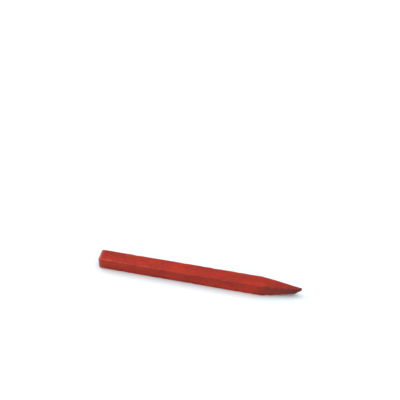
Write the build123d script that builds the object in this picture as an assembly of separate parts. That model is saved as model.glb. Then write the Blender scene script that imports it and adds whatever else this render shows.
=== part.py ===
from build123d import *
from math import cos, radians, sin, tan
import os

# Sealing wax stick: a square bar of wax, drawn down to an off-centre point, poured around a wick.
# X runs from the butt to the point, Y across the bar and Z up. Sizes are in millimetres, slants in degrees.
# The origin is on the surface that the stick lies on, under the middle of its length.

# Bar, with the soft edges that it leaves the mould with
LENGTH = 165.0
SIDE = 11.0
EDGE_RADIUS = 0.7

# Point: its section is given where it ends, and lies to the back of the bar's centreline
TAPER_LENGTH = 31.0
SHOULDER_RADIUS = 45.0
POINT_WIDTH = 3.1
POINT_HEIGHT = 3.6
POINT_ASIDE = 1.95

# End of the point: a narrow square land at the back, then a slanting cut that faces the front and dips
NOSE_LAND = 0.3
NOSE_SLANT = 52.0
NOSE_DIP = 12.0
NOSE_TURN_RADIUS = 0.4
NOSE_EDGE_RADIUS = 0.2

# Wick, pulled straight through the mould before the wax is poured
WICK_DIAMETER = 1.6

# Places along and across the stick, and a length that reaches past all of it
BUTT_X = -LENGTH / 2
END_X = LENGTH / 2
SHOULDER_X = END_X - TAPER_LENGTH
CENTRE_Z = SIDE / 2
POINT_Y = POINT_ASIDE
POINT_Z = CENTRE_Z
REACH = 2 * LENGTH


def stick_outline(centre, point_centre, point_size):
    """Outline of the stick seen square on: a bar that bends gently into its taper."""
    low = centre - SIDE / 2
    high = centre + SIDE / 2
    corners = [
        (BUTT_X, low),
        (SHOULDER_X, low),
        (END_X, point_centre - point_size / 2),
        (END_X, point_centre + point_size / 2),
        (SHOULDER_X, high),
        (BUTT_X, high),
    ]
    outline = make_face(Polyline(*corners, close=True))
    nearest_shoulder = outline.vertices().sort_by(lambda corner: abs(corner.X - SHOULDER_X))
    return fillet(nearest_shoulder[:2], SHOULDER_RADIUS)


def tapered_bar():
    """The square bar and its four-sided point, where the side and plan outlines agree, with soft edges."""
    side_view = Plane.XZ * stick_outline(CENTRE_Z, POINT_Z, POINT_HEIGHT)
    plan_view = Plane.XY * stick_outline(0, POINT_Y, POINT_WIDTH)
    bar = extrude(side_view, REACH, both=True) & extrude(plan_view, REACH, both=True)
    end_edges = bar.faces().sort_by(Axis.X)[-1].edges()
    return fillet([edge for edge in bar.edges() if edge not in end_edges], EDGE_RADIUS)


def slanted_nose(bar):
    """Cut the end of the point on the slant, with a round turn into the cut, and soften the cut's edges."""
    land_end = Vector(
        END_X,
        POINT_Y + POINT_WIDTH / 2 - NOSE_LAND,
        POINT_Z + POINT_HEIGHT / 2 - EDGE_RADIUS,
    )
    along_turn = Vector(0, sin(radians(NOSE_DIP)), -cos(radians(NOSE_DIP)))
    turn_drop = NOSE_TURN_RADIUS * tan(radians(NOSE_SLANT / 2))
    slant_run = REACH * tan(radians(NOSE_SLANT))
    corners = [
        (-slant_run, -REACH),
        (0, -REACH),
        (0, turn_drop),
        (-slant_run, turn_drop + REACH),
    ]
    profile = make_face(Polyline(*corners, close=True))
    turn = profile.vertices().sort_by_distance((0, turn_drop))[0]
    profile = Plane(land_end, x_dir=(1, 0, 0), z_dir=along_turn) * fillet(turn, NOSE_TURN_RADIUS)
    kept_side = extrude(profile, REACH, both=True)
    cut_bar = bar & kept_side
    return fillet(new_edges(bar, kept_side, combined=cut_bar), NOSE_EDGE_RADIUS)


def wick_inside(envelope):
    """Straight wick from the middle of the butt to the middle of the point, flush at both ends."""
    start = Vector(BUTT_X, 0, CENTRE_Z)
    finish = Vector(END_X, POINT_Y, POINT_Z)
    run = Plane((start + finish) / 2, z_dir=finish - start)
    return envelope & run * Cylinder(WICK_DIAMETER / 2, REACH)


envelope = slanted_nose(tapered_bar())
wick = wick_inside(envelope)
wax_bar = envelope - wick

os.makedirs("parts", exist_ok=True)
export_step(wax_bar, "parts/wax_bar.step")
export_step(wick, "parts/wick.step")
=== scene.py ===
import bpy
import math
import numpy as np
from mathutils import Matrix, Vector


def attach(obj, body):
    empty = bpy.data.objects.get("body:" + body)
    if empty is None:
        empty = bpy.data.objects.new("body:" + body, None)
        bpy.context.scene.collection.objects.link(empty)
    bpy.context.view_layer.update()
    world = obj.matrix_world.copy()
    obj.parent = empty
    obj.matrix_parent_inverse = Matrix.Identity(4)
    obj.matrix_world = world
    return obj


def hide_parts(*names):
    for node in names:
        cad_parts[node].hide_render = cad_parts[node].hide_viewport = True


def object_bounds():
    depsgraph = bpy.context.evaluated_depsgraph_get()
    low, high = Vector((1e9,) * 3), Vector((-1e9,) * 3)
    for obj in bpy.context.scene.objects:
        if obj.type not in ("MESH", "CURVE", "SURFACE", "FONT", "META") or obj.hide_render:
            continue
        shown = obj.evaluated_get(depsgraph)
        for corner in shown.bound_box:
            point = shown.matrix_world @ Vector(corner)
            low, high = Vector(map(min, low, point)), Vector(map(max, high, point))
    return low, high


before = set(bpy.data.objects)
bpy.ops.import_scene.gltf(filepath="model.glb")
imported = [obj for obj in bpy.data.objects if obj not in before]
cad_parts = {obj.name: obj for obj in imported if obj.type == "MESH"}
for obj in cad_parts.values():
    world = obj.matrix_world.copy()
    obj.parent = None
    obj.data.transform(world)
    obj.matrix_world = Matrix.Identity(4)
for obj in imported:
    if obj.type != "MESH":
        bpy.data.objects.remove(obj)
cad_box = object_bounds()

# Meshes are worked out in millimetres, as the solids are, and handed to Blender in metres
MM = 0.001

# The solids' sizes, in millimetres and radians: bar, point, end of the point and wick
LENGTH = 165.0
SIDE = 11.0
EDGE_RADIUS = 0.7
TAPER_LENGTH = 31.0
SHOULDER_RADIUS = 45.0
POINT_WIDTH = 3.1
POINT_HEIGHT = 3.6
POINT_ASIDE = 1.95
NOSE_LAND = 0.3
NOSE_SLANT = math.radians(52)
NOSE_DIP = math.radians(12)
NOSE_TURN_RADIUS = 0.4
NOSE_EDGE_RADIUS = 0.2
WICK_RADIUS = 0.8

# Places along and across the stick, and how fast each side of the point comes in
BUTT_X = -LENGTH / 2
END_X = LENGTH / 2
SHOULDER_X = END_X - TAPER_LENGTH
CENTRE_Z = SIDE / 2
POINT_Y = POINT_ASIDE
POINT_Z = CENTRE_Z
FRONT_SLOPE = (POINT_Y - POINT_WIDTH / 2 + SIDE / 2) / TAPER_LENGTH
BACK_SLOPE = (SIDE / 2 - POINT_Y - POINT_WIDTH / 2) / TAPER_LENGTH
UNDER_SLOPE = (POINT_Z - POINT_HEIGHT / 2) / TAPER_LENGTH
TOP_SLOPE = (SIDE - POINT_Z - POINT_HEIGHT / 2) / TAPER_LENGTH

# Worn edges: how much their radius varies, how many times rounder the butt is, how much rounder the long
# edges get over a length close to it, and how many millimetres the upper front edge of the taper gains,
# with the places between which that sets in
EDGE_UNEVEN = 0.4
EDGE_WAVELENGTH = 9.0
BUTT_ROUNDING = 2.3
CORNER_ROUNDING = 0.9
CORNER_LENGTH = 6.0
TAPER_SOFTENING = 3.6
SOFTENING_START_X = SHOULDER_X - 9
SOFTENING_END_X = SHOULDER_X + 7

# Unevenness of a hand-poured casting, as depths below the solid's surface, and its sizes along it
SWELL_DEPTH = 0.06
SWELL_WAVELENGTH = 24.0
RIPPLE_DEPTH = 0.03
RIPPLE_WAVELENGTH = 7.0
DISH_DEPTH = 0.35
DISH_RADIUS = 2.6
SCUFF_AND_SHEEN_WAVELENGTH = 5.0

# Burst bubbles and knocked edges: how many, how large and how deep, a pit's depth as a share of its radius,
# at what depth the painted shade in a pit is darkest, and how much paler each millimetre of a knock makes
# the wax
PIT_COUNT = 46
PIT_RADII = (0.4, 0.85)
PIT_DEPTH_SHARE = 0.32
PIT_SHADE_DEPTH = 0.25
NICK_COUNT = 20
NICK_LENGTHS = (0.6, 2.2)
NICK_WIDTH = 0.8
NICK_DEPTHS = (0.04, 0.16)
NICK_PALENESS = 3

# Seeds of the random draws
EDGE_SEED = 1
SWELL_SEED = 2
RIPPLE_SEED = 3
PIT_SEED = 5
SCUFF_AND_SHEEN_SEED = 6
NICK_SEED = 8

# Wick: plies laid round each other, with a ridge for each yarn, and ends sunk a little into the stick
PLY_COUNT = 3
PLY_PITCH = 7.0
PLY_GROOVE = 0.16
YARN_COUNT = 18
YARN_PITCH = 2.6
YARN_GROOVE = 0.025
WICK_CLEARANCE = 0.02
WICK_SINK = 0.1
WICK_LEAN = 10.0
WICK_END_SHARES = (0.12, 0.3, 0.48, 0.66, 0.82, 0.94, 1)

# How fine the meshes are: rings along the stick and the wick, places round one side and the wick, and how
# strongly the places of a side crowd towards its corners
STICK_RINGS = 360
WICK_RINGS = 260
SIDE_PLACES = 36
WICK_PLACES = 72
CORNER_CROWDING = 0.85

# Where the closer rings lie: in from the butt and the end, across the butt and the cut as shares of the
# way from one edge to the other, and along the wick's hole, first as depths from the slanting mouth
END_DEPTHS = np.array([0.1, 0.22, 0.36, 0.52, 0.7, 0.9, 1.15, 1.5, 2.0])
EVEN_RINGS_DEPTH = 2.5
BUTT_SHARES = (*np.linspace(0, 0.72, 12), 0.78, 0.83, 0.87, 0.9, 0.93, 0.955, 0.98, 1)
NOSE_SHARES = (0.05, 0.12, 0.2, 0.3, 0.42, 0.54, 0.66, 0.78, 0.9, 1)
NOSE_MOUTH_DEPTHS = (0.14, 0.3, 0.7, 1.5)
BORE_PLACES = (*np.linspace(END_X - 8, BUTT_X + 4, 40), BUTT_X + 1.5, BUTT_X + 0.6, BUTT_X + 0.45)
MOUTH_RADIUS = WICK_RADIUS + 0.05

# How far in from the butt and the end the stick's points start to fan out from one place
BUTT_FAN = 5.5
NOSE_FAN = 6.0

# Camera: where it stands round the stick, and where the stick's middle falls in a 400 by 400 picture
PICTURE = 400
AZIMUTH = math.radians(12.78)
ELEVATION = math.radians(43.37)
DISTANCE = 0.6394
FOCAL_PIXELS = 800
SENSOR_WIDTH = 36
MIDDLE_PIXEL = (198.75, 275.23)

# Colours in linear light. The two of a pair are bluer and yellower reds
RED_LIGHT = ((0.44, 0.018, 0.008, 1), (0.44, 0.026, 0.003, 1))
RED_DARK = ((0.29, 0.011, 0.005, 1), (0.29, 0.017, 0.002, 1))
RED_MOTTLE = (0.26, 0.011, 0.004, 1)
RED_SPECK = (0.49, 0.045, 0.027, 1)
# Pale rubbed red, also used for the painted highlight along the upper front edge and round the butt
RED_RUBBED_AND_HIGHLIT = (0.62, 0.125, 0.088, 1)
# Painted shade in the pits
RED_PIT_SHADE = (0.18, 0.007, 0.005, 1)
# Painted shade on the point
RED_POINT_SHADE = (0.08, 0.013, 0.011, 1)
# Painted shade on the slanting cut and inside the wick's hole
RED_CUT_SHADE = (0.08, 0.005, 0.005, 1)
COTTON_DARK = (0.15, 0.03, 0.022, 1)
COTTON_LIGHT = (0.42, 0.1, 0.075, 1)
COTTON_SOAKED = (0.24, 0.035, 0.025, 1)

# Light: two high soft lamps from the back, white surroundings that are brightest at the front left,
# and a floor that is a little dimmer as a light than as it is seen, where its tint cools the shadow
KEYS_FROM = {"left_key": (-0.58, 0.26, 0.96), "right_key": (0.42, 0.26, 0.96)}
KEY_STRENGTH = 0.96
KEY_ANGLE = math.radians(46)
FILL_FROM = (-0.64, -0.6, 0.48)
FILL_EDGE = -0.6
FILL_LOW = 0.11
FILL_HIGH = 1.12
FLOOR_REACH = 3
FLOOR_AS_LIGHT = (0.78, 0.78, 0.78, 1)
FLOOR_AS_SEEN = (0.85, 0.93, 0.96, 1)


def ramp(value, start, end):
    """0 where a value hasn't reached start, 1 where it is past end, and in step between them."""
    return np.clip((value - start) / (end - start), 0, 1)


def rounded_both(first, second, radius):
    """Distance outside the space that two distances share, with the edge between them rounded."""
    corner = np.hypot(np.maximum(first + radius, 0), np.maximum(second + radius, 0))
    return np.minimum(np.maximum(first, second), -radius) + corner


def waves(points, wavelength, seed):
    """Smooth seeded noise, mostly between -1 and 1, made of plane waves about one wavelength long."""
    count = 24
    random = np.random.default_rng(seed)
    turns = random.normal(size=(count, 3))
    turns /= np.linalg.norm(turns, axis=1, keepdims=True)
    turns *= 2 * math.pi / wavelength * random.uniform(0.6, 1.4, (count, 1))
    phases = random.uniform(0, 2 * math.pi, count)
    return np.cos(points @ turns.T + phases).sum(axis=-1) / math.sqrt(2 * count)


def fall(x, slope):
    """How far a side has come in from the bar at x, round its shoulder and then along its taper."""
    angle = math.atan(slope)
    arc_start = SHOULDER_X - SHOULDER_RADIUS * math.tan(angle / 2)
    arc_end = arc_start + SHOULDER_RADIUS * math.sin(angle)
    into_arc = np.clip(x, arc_start, arc_end) - arc_start
    arc = SHOULDER_RADIUS - np.sqrt(SHOULDER_RADIUS ** 2 - into_arc ** 2)
    return arc + slope * np.maximum(x - arc_end, 0)


def section(x):
    """Lowest and highest Y, and lowest and highest Z, of the sharp-edged stick at each x."""
    front = fall(x, FRONT_SLOPE) - SIDE / 2
    back = SIDE / 2 - fall(x, BACK_SLOPE)
    under = fall(x, UNDER_SLOPE)
    top = SIDE - fall(x, TOP_SLOPE)
    return front, back, under, top


def nose_distance(x, y, z):
    """Distance outside the end of the point: a square land, then round a turn and away on the slant."""
    land_y = POINT_Y + POINT_WIDTH / 2 - NOSE_LAND
    land_z = POINT_Z + POINT_HEIGHT / 2 - EDGE_RADIUS
    away = (land_y - y) * math.cos(NOSE_DIP) + (land_z - z) * math.sin(NOSE_DIP)
    turn_drop = NOSE_TURN_RADIUS * math.tan(NOSE_SLANT / 2)
    square = x - END_X
    slant = square * math.cos(NOSE_SLANT) + (away - turn_drop) * math.sin(NOSE_SLANT)
    return rounded_both(square, slant, turn_drop * math.sin(NOSE_SLANT))


def nose_x(y, z):
    """Where the end of the point lies along X, at each Y and Z."""
    x = np.full(np.shape(y), END_X)
    for _ in range(20):
        x = x - np.maximum(nose_distance(x, y, z), 0)
    return x


def edge_radius(points):
    """How round the long edges are: unevenly worn, and softest along the upper front edge of the taper."""
    x, y, z = np.moveaxis(points, -1, 0)
    front, back, under, top = section(x)
    upper = ramp(z, (under + top) / 2, top)
    fore = ramp(y, (front + back) / 2, front)
    onset = ramp(x, SOFTENING_START_X, SOFTENING_END_X)
    taper = onset ** 2 * (3 - 2 * onset) * (top - under) / SIDE
    uneven_edge = 1 + EDGE_UNEVEN * np.clip(waves(points, EDGE_WAVELENGTH, EDGE_SEED), -0.4, 1)
    return EDGE_RADIUS * uneven_edge + TAPER_SOFTENING * taper * upper * fore


def wax_distance(points):
    """Distance outside the cast stick, with its unevenly worn edges, roundest at the top of the butt."""
    x, y, z = np.moveaxis(points, -1, 0)
    front, back, under, top = section(x)
    edge = edge_radius(points)
    across = np.maximum(front - y, y - back)
    upward = np.maximum(under - z, z - top)
    near_butt = ramp(x, BUTT_X + CORNER_LENGTH, BUTT_X)
    bar = rounded_both(across, upward, edge * (1 + CORNER_ROUNDING * near_butt ** 2))
    bar = rounded_both(bar, BUTT_X - x, BUTT_ROUNDING * edge * (0.75 + 0.5 * z / SIDE))
    return rounded_both(bar, nose_distance(x, y, z), NOSE_EDGE_RADIUS)


def slopes(points):
    """How fast the distance outside the stick grows along each axis."""
    step = 0.01
    pairs = [(points + step * axis, points - step * axis) for axis in np.eye(3)]
    rises = [wax_distance(ahead) - wax_distance(behind) for ahead, behind in pairs]
    return np.stack(rises, axis=-1) / (2 * step)


def square_loop():
    """Places round a square of half side 1, U across and V up, close together at its corners."""
    evenly = np.linspace(-1, 1, SIDE_PLACES, endpoint=False)
    along = (1 - CORNER_CROWDING) * evenly + CORNER_CROWDING * np.sin(evenly * math.pi / 2)
    one = np.ones_like(along)
    across = np.concatenate([along, one, -along, -one])
    upward = np.concatenate([-one, along, one, -along])
    return across, upward


LOOP_U, LOOP_V = square_loop()
LOOP_ANGLE = np.arctan2(LOOP_V, LOOP_U)
WICK_ANGLE = np.linspace(0, 2 * math.pi, WICK_PLACES, endpoint=False)


def on_section(x):
    """Points of the sharp-edged stick, one for each place round the loop, at each x."""
    front, back, under, top = section(x)
    y = (front + back) / 2 + (back - front) / 2 * LOOP_U
    z = (under + top) / 2 + (top - under) / 2 * LOOP_V
    return np.stack([np.broadcast_to(x, y.shape), y, z], axis=-1)


def wick_axis(x):
    """Y and Z of the wick's middle line at each x."""
    share = (x - BUTT_X) / LENGTH
    return POINT_Y * share, CENTRE_Z + (POINT_Z - CENTRE_Z) * share


def onto_wax(targets):
    """Where straight lines from the wick's middle line out to the targets leave the wax, and the normals."""
    middle_x = np.clip(targets[..., 0], BUTT_X + BUTT_FAN, END_X - NOSE_FAN)
    middle = np.stack([middle_x, *wick_axis(middle_x)], axis=-1)
    # Shares of each line that end inside and outside the wax, brought together by halves
    inside = np.full(targets.shape[:-1], 0.4)
    outside = np.full(targets.shape[:-1], 1.05)
    for _ in range(24):
        share = (inside + outside) / 2
        in_wax = wax_distance(middle + share[..., None] * (targets - middle)) < 0
        inside = np.where(in_wax, share, inside)
        outside = np.where(in_wax, outside, share)
    points = middle + inside[..., None] * (targets - middle)
    slope = slopes(points)
    return points, slope / np.linalg.norm(slope, axis=-1, keepdims=True)


def on_bore(x, radius):
    """Points at a distance from the wick's middle line, one for each place round the loop."""
    middle_y, middle_z = wick_axis(x)
    y = middle_y + radius * np.cos(LOOP_ANGLE)
    z = middle_z + radius * np.sin(LOOP_ANGLE)
    return np.stack([np.broadcast_to(x, y.shape), y, z], axis=-1)


def end_loop():
    """The sharp edge between the sides of the point and its slanting end."""
    x = np.full(LOOP_U.shape, END_X)
    for _ in range(40):
        _, y, z = np.moveaxis(on_section(x), -1, 0)
        x = x - 0.7 * np.maximum(nose_distance(x, y, z), 0)
    return on_section(x)


def side_rings(edge):
    """Rings from the butt's edge to the point's, leaning over towards the slant of the end."""
    middle = np.linspace(BUTT_X + EVEN_RINGS_DEPTH, END_X - EVEN_RINGS_DEPTH, STICK_RINGS)
    places = np.concatenate([BUTT_X + END_DEPTHS, middle, END_X - END_DEPTHS[::-1]])
    lean = ramp(places, SHOULDER_X, END_X) ** 2
    return [on_section(x + share * (edge[:, 0] - END_X)) for x, share in zip(places, lean)]


def butt_rings():
    """Rings across the butt, from the wick's hole out to the edge."""
    hole = on_bore(np.full(LOOP_U.shape, BUTT_X), MOUTH_RADIUS)
    edge = on_section(np.full(LOOP_U.shape, BUTT_X))
    return [hole + (edge - hole) * share for share in BUTT_SHARES]


def nose_rings(edge):
    """Rings across the end of the point, from its edge in to the wick's hole."""
    hole = on_bore(edge[:, 0], MOUTH_RADIUS)
    rings = [edge]
    for share in NOSE_SHARES:
        ring = edge + (hole - edge) * share
        ring[:, 0] = nose_x(ring[:, 1], ring[:, 2])
        rings.append(ring)
    return rings


def bore_rings(mouth_x):
    """Rings along the wick's hole, from the point back to the butt."""
    near_nose = [on_bore(mouth_x - depth, WICK_RADIUS) for depth in NOSE_MOUTH_DEPTHS]
    return near_nose + [on_bore(np.full(LOOP_U.shape, x), WICK_RADIUS) for x in BORE_PLACES]


def side_spots(count, seed, at_corner):
    """Seeded places on the stick's long sides, or on its long edges, and the draw to go on from."""
    random = np.random.default_rng(seed)
    x = random.uniform(BUTT_X + 1, END_X - 6, count)
    side = random.integers(0, 4, count)
    along = np.where(at_corner, random.choice([-1.0, 1.0], count), random.uniform(-0.85, 0.85, count))
    one = np.ones(count)
    u = np.choose(side, [along, one, along, -one])
    v = np.choose(side, [-one, along, one, along])
    front, back, under, top = section(x)
    y = (front + back) / 2 + (back - front) / 2 * u
    z = (under + top) / 2 + (top - under) / 2 * v
    return np.stack([x, y, z], axis=-1), random


def pits(points):
    """Depth of the small bubbles that burst at the mould's wall."""
    places, random = side_spots(PIT_COUNT, PIT_SEED, False)
    depth = np.zeros(points.shape[:-1])
    for place in places:
        radius = random.uniform(*PIT_RADII)
        away = np.linalg.norm(points - place, axis=-1) / radius
        depth = np.maximum(depth, radius * PIT_DEPTH_SHARE * np.exp(-away ** 4))
    return depth


def nicks(points):
    """Depth of the knocks along the long edges."""
    places, random = side_spots(NICK_COUNT, NICK_SEED, True)
    depth = np.zeros(points.shape[:-1])
    for place in places:
        size = np.array([random.uniform(*NICK_LENGTHS), NICK_WIDTH, NICK_WIDTH])
        away = np.linalg.norm((points - place) / size, axis=-1)
        depth = np.maximum(depth, random.uniform(*NICK_DEPTHS) * np.exp(-away ** 2))
    return depth


def butt_dish(points):
    """Depth of the hollow that the cooling wax draws round the wick at the butt."""
    x, y, z = np.moveaxis(points, -1, 0)
    away = np.hypot(y, z - CENTRE_Z) / DISH_RADIUS
    return np.where(x < BUTT_X + 1, DISH_DEPTH * np.exp(-away ** 2), 0)


def uneven(points):
    """Swells and ripples of the casting, as a depth below the solid's surface."""
    swell = 0.5 + 0.5 * np.clip(waves(points, SWELL_WAVELENGTH, SWELL_SEED), -1, 1)
    ripple = 0.5 + 0.5 * np.clip(waves(points, RIPPLE_WAVELENGTH, RIPPLE_SEED), -1, 1)
    return SWELL_DEPTH * swell + RIPPLE_DEPTH * ripple


def ring_faces(rings, places, closed):
    """Four-sided faces that join each ring to the next, and the last to the first where they close."""
    ring, place = np.meshgrid(np.arange(rings if closed else rings - 1), np.arange(places), indexing="ij")
    next_ring = (ring + 1) % rings
    next_place = (place + 1) % places
    corners = [ring * places + place, ring * places + next_place]
    corners += [next_ring * places + next_place, next_ring * places + place]
    return np.stack(corners, axis=-1).reshape(-1, 4).tolist()


def add_piece(name, points, faces, material):
    """A smooth-shaded mesh object from points in millimetres."""
    mesh = bpy.data.meshes.new(name)
    mesh.from_pydata((points * MM).tolist(), [], faces)
    mesh.shade_smooth()
    mesh.materials.append(material)
    piece = bpy.data.objects.new(name, mesh)
    bpy.context.scene.collection.objects.link(piece)
    return piece


def add_value(piece, name, values):
    """One number for each point of a mesh, which its material reads."""
    attribute = piece.data.attributes.new(name, "FLOAT", "POINT")
    attribute.data.foreach_set("value", np.ascontiguousarray(values.ravel(), dtype=np.float32))


def cut_end(points):
    """1 on the slanting cut at the end of the point, and 0 on the rest of the stick."""
    return ramp(nose_distance(*np.moveaxis(points, -1, 0)), -0.18, -0.06)


def edge_wear_and_highlight(points, normals):
    """How pale each point is: rubbed wear on the rounded edges, and a painted highlight most round the butt
    and along the upper front edge, strongest towards the butt; none on a flat.
    """
    x = points[..., 0]
    normal_x, normal_y, normal_z = np.moveaxis(normals, -1, 0)
    rounded = ramp(np.abs(normals).max(axis=-1), 0.97, 0.77) * (1 - cut_end(points))
    upper_front = ramp(normal_z - normal_y, 0.43, 1.14)
    # Painted highlight along the upper front edge, growing towards the butt
    highlight_towards_butt = ramp(x, SHOULDER_X, SHOULDER_X - LENGTH)
    # Painted highlight round the butt
    butt_highlight = ramp(x, BUTT_X + 3.2, BUTT_X + 0.8) * ramp(normal_x, -1, -0.67)
    # Patchiness of the wear and of the painted highlight
    scuffs_and_sheen = 0.4 + 0.35 * waves(points, SCUFF_AND_SHEEN_WAVELENGTH, SCUFF_AND_SHEEN_SEED)
    along_edges = rounded * scuffs_and_sheen * (0.4 + upper_front * (0.2 + 2.1 * highlight_towards_butt ** 2))
    return np.clip(along_edges + butt_highlight * (0.45 + 0.5 * scuffs_and_sheen), 0, 1)


def painted_point_shade(points, normals):
    """Painted shade on the drawn-out point: darker on its front, and more so towards its end."""
    x = points[..., 0]
    past_shoulder = ramp(x, SHOULDER_X - 8, SHOULDER_X + 4)
    front = ramp(normals[..., 1], -0.125, -0.75)
    towards_end = ramp(x, SHOULDER_X, END_X)
    return np.clip(0.45 * front * past_shoulder + 0.85 * towards_end ** 3, 0, 1)


def add_wax(material):
    """The cast stick: outside, ends and the wick's hole as one closed grid."""
    edge = end_loop()
    nose = nose_rings(edge)
    outside = np.stack(butt_rings() + side_rings(edge) + nose)
    outside, normals = onto_wax(outside)
    holes = pits(outside)
    knocks = nicks(outside)
    # Paler where rubbed or knocked, and where the highlight is painted
    rubbed_and_highlit = np.clip(edge_wear_and_highlight(outside, normals) + knocks * NICK_PALENESS, 0, 1)
    depth = uneven(outside) + holes + knocks + butt_dish(outside)
    inside = np.stack(bore_rings(nose[-1][:, 0]))
    points = np.concatenate([outside - depth[..., None] * normals, inside])
    faces = ring_faces(*points.shape[:2], closed=True)
    piece = add_piece("cast_wax", points.reshape(-1, 3), faces, material)
    none = np.zeros(inside.shape[:2])
    add_value(piece, "rubbed_and_highlit", np.concatenate([rubbed_and_highlit, none]))
    # Painted shade in the pits, darkest at the given depth
    add_value(piece, "painted_pit_shade", np.concatenate([holes / PIT_SHADE_DEPTH, none]))
    # Painted shade on the point's front and towards its end
    add_value(piece, "painted_point_shade", np.concatenate([painted_point_shade(outside, normals), none]))
    # Painted shade on the slanting cut and inside the wick's hole
    add_value(piece, "cut", np.concatenate([cut_end(outside), none + 1]))
    return piece


def plies(x):
    """How deep between two plies each place round the wick lies, from 0 to 1, at each x."""
    return np.sin(PLY_COUNT / 2 * (WICK_ANGLE - 2 * math.pi * x / PLY_PITCH)) ** 4


def on_wick(x, share):
    """Points round the wick at each x, at a share of its radius."""
    yarns = 0.5 + 0.5 * np.cos(YARN_COUNT * WICK_ANGLE + 2 * math.pi * x / YARN_PITCH)
    radius = share * (WICK_RADIUS - WICK_CLEARANCE - PLY_GROOVE * plies(x) - YARN_GROOVE * yarns)
    middle_y, middle_z = wick_axis(x)
    y = middle_y + radius * np.cos(WICK_ANGLE)
    z = middle_z + radius * np.sin(WICK_ANGLE)
    return np.stack([np.broadcast_to(x, y.shape), y, z], axis=-1)


def wick_sunk(x, share):
    """How far each place of the wick's end is sunk into the stick, with a dome on each ply."""
    dome = (1 - plies(x)) * (1 - (share / 0.55 - 1) ** 2)
    return WICK_SINK * (1.3 - dome)


def wick_butt(share):
    """One ring across the wick's end at the butt."""
    x = np.full(WICK_PLACES, BUTT_X)
    return on_wick(x + wick_sunk(x, share), share)


def wick_nose(share):
    """One ring across the wick's end at the point, cut on the same slant as the wax."""
    x = np.full(WICK_PLACES, END_X)
    for _ in range(12):
        ring = on_wick(x, share)
        x = nose_x(ring[:, 1], ring[:, 2]) - wick_sunk(x, share)
    return on_wick(x, share)


def wick_rings():
    """Rings of the wick, from the middle of its butt to the middle of its slanting end."""
    butt = [wick_butt(share) for share in WICK_END_SHARES]
    nose = [wick_nose(share) for share in reversed(WICK_END_SHARES)]
    butt_shift = butt[-1][:, 0] - BUTT_X
    nose_shift = nose[0][:, 0] - END_X
    sides = []
    for x in np.linspace(BUTT_X, END_X, WICK_RINGS)[1:-1]:
        near_butt = ramp(x, BUTT_X + WICK_LEAN, BUTT_X)
        near_nose = ramp(x, END_X - WICK_LEAN, END_X)
        sides.append(on_wick(x + near_butt * butt_shift + near_nose * nose_shift, 1))
    return np.stack(butt + sides + nose)


def add_wick(material):
    """The wick as one mesh, closed at both ends."""
    rings = wick_rings()
    count, places = rings.shape[:2]
    faces = ring_faces(count, places, closed=False)
    middle = count * places
    for place in range(places):
        after = (place + 1) % places
        faces.append([middle, after, place])
        faces.append([middle + 1, middle - places + place, middle - places + after])
    ends = [rings[0].mean(axis=0), rings[-1].mean(axis=0)]
    return add_piece("plied_wick", np.concatenate([rings.reshape(-1, 3), ends]), faces, material)


def add(tree, kind, settings=None, **inputs):
    """One shader node. Settings are its own properties, and inputs are values or other nodes' sockets."""
    made = tree.nodes.new("ShaderNode" + kind)
    for name, value in (settings or {}).items():
        setattr(made, name, value)
    for name, value in inputs.items():
        socket = made.inputs[name.replace("_", " ")]
        if isinstance(value, bpy.types.NodeSocket):
            tree.links.new(value, socket)
        else:
            socket.default_value = value
    return made


def noise(tree, place, scale, detail):
    """Noise over the piece, mostly from 0.3 to 0.7."""
    return add(tree, "TexNoise", Vector=place, Scale=scale, Detail=detail).outputs[0]


def spread(tree, value, low, high, to_low, to_high):
    """A value's range moved to another one."""
    made = add(tree, "MapRange", Value=value, From_Min=low, From_Max=high, To_Min=to_low, To_Max=to_high)
    return made.outputs[0]


def blend(tree, factor, low, high):
    """A colour between two, each a colour or another node's socket."""
    made = tree.nodes.new("ShaderNodeMix")
    made.data_type = "RGBA"
    for index, value in ((0, factor), (6, low), (7, high)):
        if isinstance(value, bpy.types.NodeSocket):
            tree.links.new(value, made.inputs[index])
        else:
            made.inputs[index].default_value = value
    return made.outputs[2]


def stored(tree, name):
    """The number that the mesh keeps for each of its points under a name."""
    return add(tree, "Attribute", {"attribute_name": name}).outputs["Fac"]


def new_material(name):
    """A node material, its tree and its Principled shader."""
    material = bpy.data.materials.new(name)
    material.use_nodes = True
    return material, material.node_tree, material.node_tree.nodes["Principled BSDF"]


def wax_colour(tree, place, mottle):
    """Streaky, mottled red, paler where it is rubbed and where a highlight is painted, with painted shade in
    pits, on the point and on its cut.
    """
    streaked = add(tree, "Mapping", Vector=place, Scale=(0.25, 1, 1)).outputs[0]
    hue = spread(tree, noise(tree, place, 150, 2), 0.38, 0.62, 0, 1)
    cloud = spread(tree, noise(tree, streaked, 160, 3), 0.36, 0.64, 0, 1)
    red = blend(tree, cloud, blend(tree, hue, *RED_DARK), blend(tree, hue, *RED_LIGHT))
    red = blend(tree, spread(tree, mottle, 0.45, 0.7, 0, 0.6), red, RED_MOTTLE)
    speck = spread(tree, noise(tree, place, 2600, 2), 0.6, 0.75, 0, 0.4)
    red = blend(tree, speck, red, RED_SPECK)
    # Paler where rubbed, and a painted highlight along the upper front edge and round the butt
    red = blend(tree, spread(tree, stored(tree, "rubbed_and_highlit"), 0, 1, 0, 0.85), red, RED_RUBBED_AND_HIGHLIT)
    # Painted shade in the pits
    red = blend(tree, spread(tree, stored(tree, "painted_pit_shade"), 0.3, 1, 0, 0.6), red, RED_PIT_SHADE)
    # Painted shade on the point
    red = blend(tree, stored(tree, "painted_point_shade"), red, RED_POINT_SHADE)
    # Painted shade on the slanting cut and inside the wick's hole
    return blend(tree, spread(tree, stored(tree, "cut"), 0, 1, 0, 0.6), red, RED_CUT_SHADE)


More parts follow.
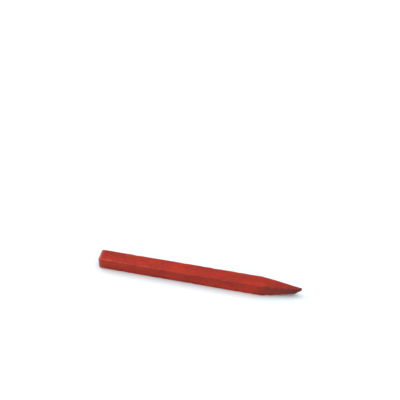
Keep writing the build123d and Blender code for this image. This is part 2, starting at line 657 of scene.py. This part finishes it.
def wax_material():
    """Red sealing wax with a satin skin that lets a little light through."""
    material, tree, shader = new_material("sealing_wax")
    place = add(tree, "TexCoord").outputs["Object"]
    mottle = noise(tree, place, 420, 4)
    tree.links.new(wax_colour(tree, place, mottle), shader.inputs["Base Color"])
    tree.links.new(spread(tree, mottle, 0.35, 0.65, 0.42, 0.58), shader.inputs["Roughness"])
    grain = add(tree, "Bump", Strength=0.25, Distance=0.00012, Height=noise(tree, place, 1500, 3))
    tree.links.new(grain.outputs[0], shader.inputs["Normal"])
    shader.inputs["IOR"].default_value = 1.45
    shader.inputs["Specular IOR Level"].default_value = 0.26
    shader.inputs["Subsurface Weight"].default_value = 0.12
    shader.inputs["Subsurface Radius"].default_value = (1.0, 0.25, 0.15)
    shader.inputs["Subsurface Scale"].default_value = 0.001
    return material


def cotton_material():
    """Cotton that has drawn in red wax, streaked along its fibres."""
    material, tree, shader = new_material("waxed_cotton")
    place = add(tree, "TexCoord").outputs["Object"]
    along = add(tree, "Mapping", Vector=place, Scale=(0.2, 1, 1)).outputs[0]
    fibre = noise(tree, along, 9000, 3)
    soaked = noise(tree, place, 900, 2)
    shade = spread(tree, fibre, 0.35, 0.65, 0, 1)
    colour = blend(tree, shade, COTTON_DARK, COTTON_LIGHT)
    colour = blend(tree, spread(tree, soaked, 0.4, 0.65, 0, 0.6), colour, COTTON_SOAKED)
    tree.links.new(colour, shader.inputs["Base Color"])
    tree.links.new(spread(tree, soaked, 0.35, 0.65, 0.85, 0.6), shader.inputs["Roughness"])
    threads = add(tree, "Bump", Strength=0.6, Distance=0.00008, Height=fibre)
    tree.links.new(threads.outputs[0], shader.inputs["Normal"])
    shader.inputs["Specular IOR Level"].default_value = 0.25
    return material


def add_camera():
    """Camera at the photograph's angle, with no roll and no shift."""
    low, high = cad_box
    middle = (low + high) / 2
    back = Vector((
        math.sin(AZIMUTH) * math.cos(ELEVATION),
        -math.cos(AZIMUTH) * math.cos(ELEVATION),
        math.sin(ELEVATION),
    ))
    right = Vector((0, 0, 1)).cross(back).normalized()
    up = back.cross(right)
    pixel = DISTANCE / FOCAL_PIXELS
    aside = (MIDDLE_PIXEL[0] - PICTURE / 2) * pixel
    below = (MIDDLE_PIXEL[1] - PICTURE / 2) * pixel
    data = bpy.data.cameras.new("camera")
    data.sensor_width = SENSOR_WIDTH
    data.lens = FOCAL_PIXELS * SENSOR_WIDTH / PICTURE
    camera = bpy.data.objects.new("camera", data)
    turn = Matrix((right, up, back)).transposed().to_4x4()
    camera.matrix_world = Matrix.Translation(middle + back * DISTANCE - right * aside + up * below) @ turn
    bpy.context.scene.collection.objects.link(camera)
    bpy.context.scene.camera = camera


def seen_directly(tree):
    """1 where the camera sees a surface itself or in a reflection, and 0 where it only lights others."""
    path = add(tree, "LightPath").outputs
    seen = path["Is Camera Ray"]
    for kind in ("Is Glossy Ray", "Is Transmission Ray"):
        either = add(tree, "Math", {"operation": "MAXIMUM"})
        tree.links.new(seen, either.inputs[0])
        tree.links.new(path[kind], either.inputs[1])
        seen = either.outputs[0]
    return seen


def add_floor():
    """Plain white floor that keeps the stick's soft shadow."""
    corners = [(-1, -1), (1, -1), (1, 1), (-1, 1)]
    mesh = bpy.data.meshes.new("floor")
    mesh.from_pydata([(x * FLOOR_REACH, y * FLOOR_REACH, 0) for x, y in corners], [], [(0, 1, 2, 3)])
    floor = bpy.data.objects.new("floor", mesh)
    bpy.context.scene.collection.objects.link(floor)
    material = bpy.data.materials.new("floor")
    material.use_nodes = True
    tree = material.node_tree
    tree.nodes.clear()
    white = blend(tree, seen_directly(tree), FLOOR_AS_LIGHT, FLOOR_AS_SEEN)
    diffuse = add(tree, "BsdfDiffuse", Color=white)
    add(tree, "OutputMaterial", Surface=diffuse.outputs[0])
    mesh.materials.append(material)


def add_world():
    """White surroundings: brighter on one side as a light, and even where the camera sees them."""
    world = bpy.data.worlds.new("studio")
    bpy.context.scene.world = world
    world.use_nodes = True
    tree = world.node_tree
    toward = add(tree, "VectorMath", {"operation": "DOT_PRODUCT"})
    tree.links.new(add(tree, "TexCoord").outputs["Generated"], toward.inputs[0])
    toward.inputs[1].default_value = FILL_FROM
    fill = spread(tree, toward.outputs["Value"], FILL_EDGE, 1, FILL_LOW, FILL_HIGH)
    strength = add(tree, "Mix", Factor=seen_directly(tree), A=fill, B=1.0)
    sky = tree.nodes["Background"]
    sky.inputs["Color"].default_value = (1, 1, 1, 1)
    tree.links.new(strength.outputs[0], sky.inputs["Strength"])


def add_lamps():
    """Two far, soft lamps, each of which shines from one direction."""
    for name, direction in KEYS_FROM.items():
        data = bpy.data.lights.new(name, "SUN")
        data.energy = KEY_STRENGTH
        data.angle = KEY_ANGLE
        lamp = bpy.data.objects.new(name, data)
        lamp.rotation_euler = Vector(direction).to_track_quat("Z", "Y").to_euler()
        bpy.context.scene.collection.objects.link(lamp)


bpy.context.scene.view_settings.view_transform = "Standard"
add_camera()
add_floor()
add_world()
add_lamps()

wax = add_wax(wax_material())
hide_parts("wax_bar")
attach(wax, "root")

wick = add_wick(cotton_material())
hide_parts("wick")
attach(wick, "root")
